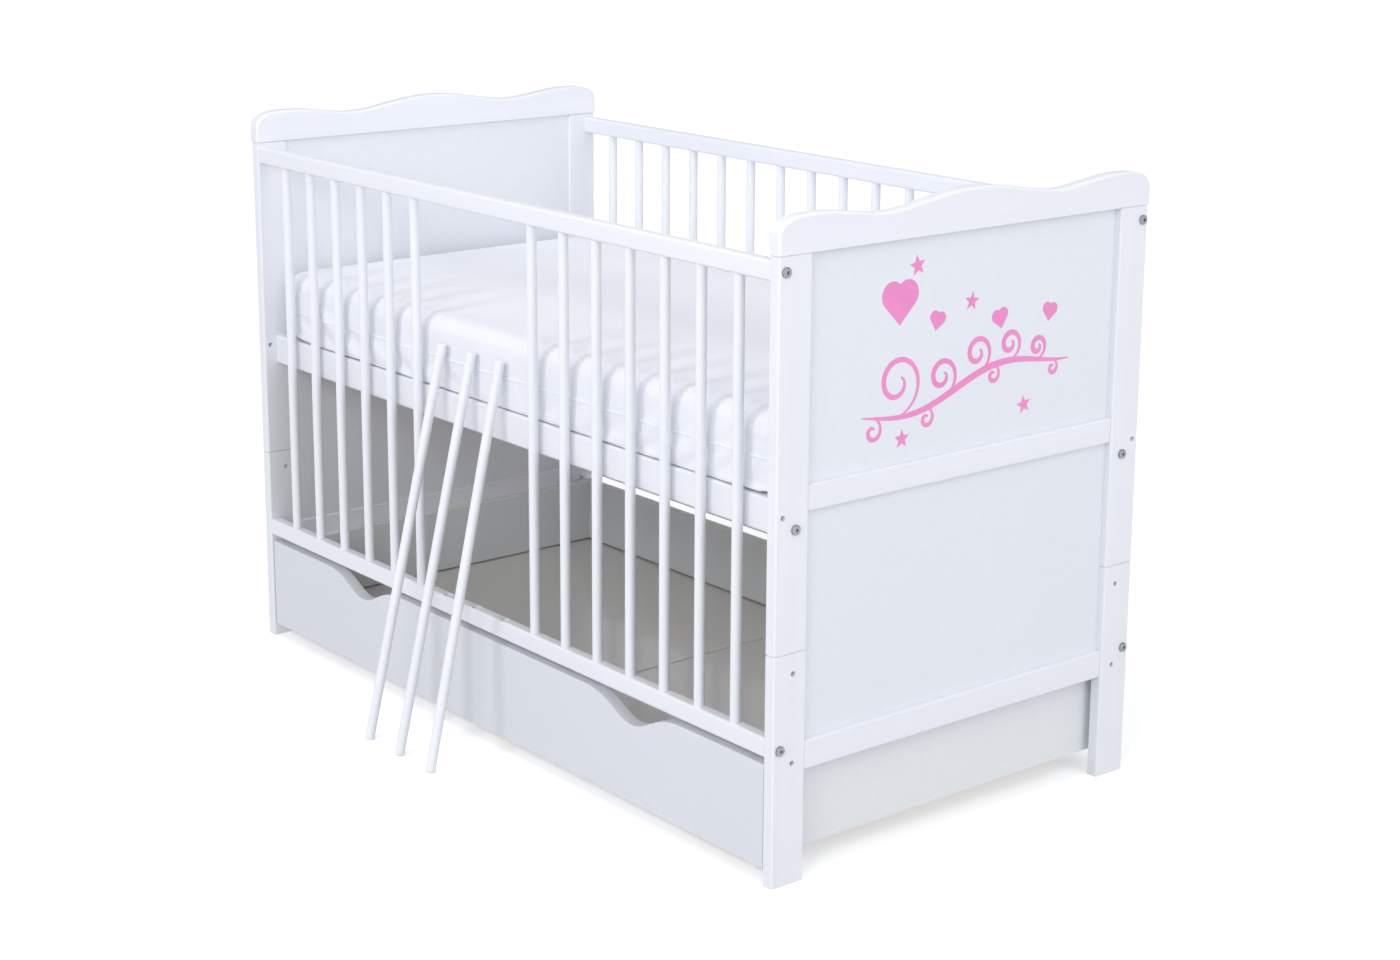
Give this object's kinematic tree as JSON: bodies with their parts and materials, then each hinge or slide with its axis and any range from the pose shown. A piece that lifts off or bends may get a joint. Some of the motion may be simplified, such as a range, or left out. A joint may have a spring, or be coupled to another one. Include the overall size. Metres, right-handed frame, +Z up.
{
  "type": "baby cot",
  "caption": "White slatted baby cot with a height-adjustable base, a mattress, an underbed drawer on castors and front slats that lift out.",
  "frame": {"origin": "on the floor under the middle of the whole footprint, the leaning slats' feet included", "axes": "+Z up, +X along the length towards the end with the motif, -Y towards the drawer front"},
  "size_m": [1.248, 0.771, 0.8465],
  "materials": {
    "painted_wood": "smooth satin white paint over pine",
    "painted_slat": "satin white paint over round beech bar",
    "painted_panel": "matt white painted hardboard",
    "drawer_panel": "matt white melamine on board",
    "drawer_bottom": "white lacquered hardboard, slightly warm",
    "bare_wood": "planed pine, unpainted",
    "beech_dowel": "fluted beech",
    "zinc_steel": "zinc plated",
    "wheel_plastic": "moulded nylon",
    "white_plastic": "extruded plastic",
    "mattress_cover": "plain woven white cover with a sewn seam round its sides",
    "pink_film": "thin pink decorative film"
  },
  "bodies": {
    "cot": {"back_bottom_rail": "painted_wood", "back_slats": "painted_slat", "back_top_rail": "painted_wood", "base_back_ledger": "bare_wood", "base_back_rail": "painted_wood", "base_bolts": "zinc_steel", "base_cross_nuts": "zinc_steel", "base_front_ledger": "bare_wood", "base_front_rail": "painted_wood", "base_left_rail": "painted_wood", "base_right_rail": "painted_wood", "base_screws": "zinc_steel", "base_slats": "bare_wood", "frame_dowels": "beech_dowel", "front_bottom_rail": "painted_wood", "front_slats_left": "painted_slat", "front_slats_right": "painted_slat", "front_top_rail": "painted_wood", "left_back_leg": "painted_wood", "left_back_post": "painted_wood", "left_crest": "painted_wood", "left_front_leg": "painted_wood", "left_front_post": "painted_wood", "left_low_rail": "painted_wood", "left_lower_panel": "painted_panel", "left_mid_rail": "painted_wood", "left_upper_panel": "painted_panel", "panel_motif": "pink_film", "right_back_leg": "painted_wood", "right_back_post": "painted_wood", "right_crest": "painted_wood", "right_front_leg": "painted_wood", "right_front_post": "painted_wood", "right_low_rail": "painted_wood", "right_lower_panel": "painted_panel", "right_mid_rail": "painted_wood", "right_upper_panel": "painted_panel", "side_bolts": "zinc_steel", "side_cross_nuts": "zinc_steel"},
    "mattress": {"mattress": "mattress_cover"},
    "drawer": {"drawer_back": "drawer_panel", "drawer_bearers": "bare_wood", "drawer_dowels": "beech_dowel", "drawer_front": "drawer_panel", "drawer_joint_strip": "white_plastic", "drawer_left_bottom": "drawer_bottom", "drawer_left_side": "drawer_panel", "drawer_right_bottom": "drawer_bottom", "drawer_right_side": "drawer_panel", "drawer_screws": "zinc_steel", "castor_brackets": "zinc_steel", "castor_axles": "zinc_steel", "castor_screws": "zinc_steel"},
    "castor_wheel_1": {"castor_wheel_1": "wheel_plastic"},
    "castor_wheel_2": {"castor_wheel_2": "wheel_plastic"},
    "castor_wheel_3": {"castor_wheel_3": "wheel_plastic"},
    "castor_wheel_4": {"castor_wheel_4": "wheel_plastic"},
    "loose_slat_1": {"loose_slat_1": "painted_slat"},
    "loose_slat_2": {"loose_slat_2": "painted_slat"},
    "loose_slat_3": {"loose_slat_3": "painted_slat"}
  },
  "joints": [
    {"name": "drawer_slide", "type": "slide", "parent": "cot", "child": "drawer", "axis": [0, -1, 0], "range_m": [0, 0.6]},
    {"name": "mattress_lift", "type": "slide", "parent": "cot", "child": "mattress", "axis": [0, 0, 1], "range_m": [0, 0.38]},
    {"name": "castor_spin_1", "type": "hinge", "parent": "drawer", "child": "castor_wheel_1", "pos_m": [-0.48, -0.13697, 0.015], "axis": [1, 0, 0], "continuous": true},
    {"name": "castor_spin_2", "type": "hinge", "parent": "drawer", "child": "castor_wheel_2", "pos_m": [-0.48, 0.28303, 0.015], "axis": [1, 0, 0], "continuous": true},
    {"name": "castor_spin_3", "type": "hinge", "parent": "drawer", "child": "castor_wheel_3", "pos_m": [0.48, -0.13697, 0.015], "axis": [1, 0, 0], "continuous": true},
    {"name": "castor_spin_4", "type": "hinge", "parent": "drawer", "child": "castor_wheel_4", "pos_m": [0.48, 0.28303, 0.015], "axis": [1, 0, 0], "continuous": true},
    {"name": "slat_tip_1", "type": "hinge", "parent": "drawer", "child": "loose_slat_1", "pos_m": [-0.11903, -0.37766, 0.007], "axis": [1, 0, 0], "range_deg": [0, 103.5]},
    {"name": "slat_tip_2", "type": "hinge", "parent": "drawer", "child": "loose_slat_2", "pos_m": [-0.04008, -0.37766, 0.007], "axis": [1, 0, 0], "range_deg": [0, 103.5]},
    {"name": "slat_tip_3", "type": "hinge", "parent": "drawer", "child": "loose_slat_3", "pos_m": [0.03883, -0.37766, 0.007], "axis": [1, 0, 0], "range_deg": [0, 103.5]}
  ],
  "couplings": [
    {"joint": "castor_spin_1", "follows": "drawer_slide", "rad_per_m": 66.667},
    {"joint": "castor_spin_2", "follows": "drawer_slide", "rad_per_m": 66.667},
    {"joint": "castor_spin_3", "follows": "drawer_slide", "rad_per_m": 66.667},
    {"joint": "castor_spin_4", "follows": "drawer_slide", "rad_per_m": 66.667}
  ]
}
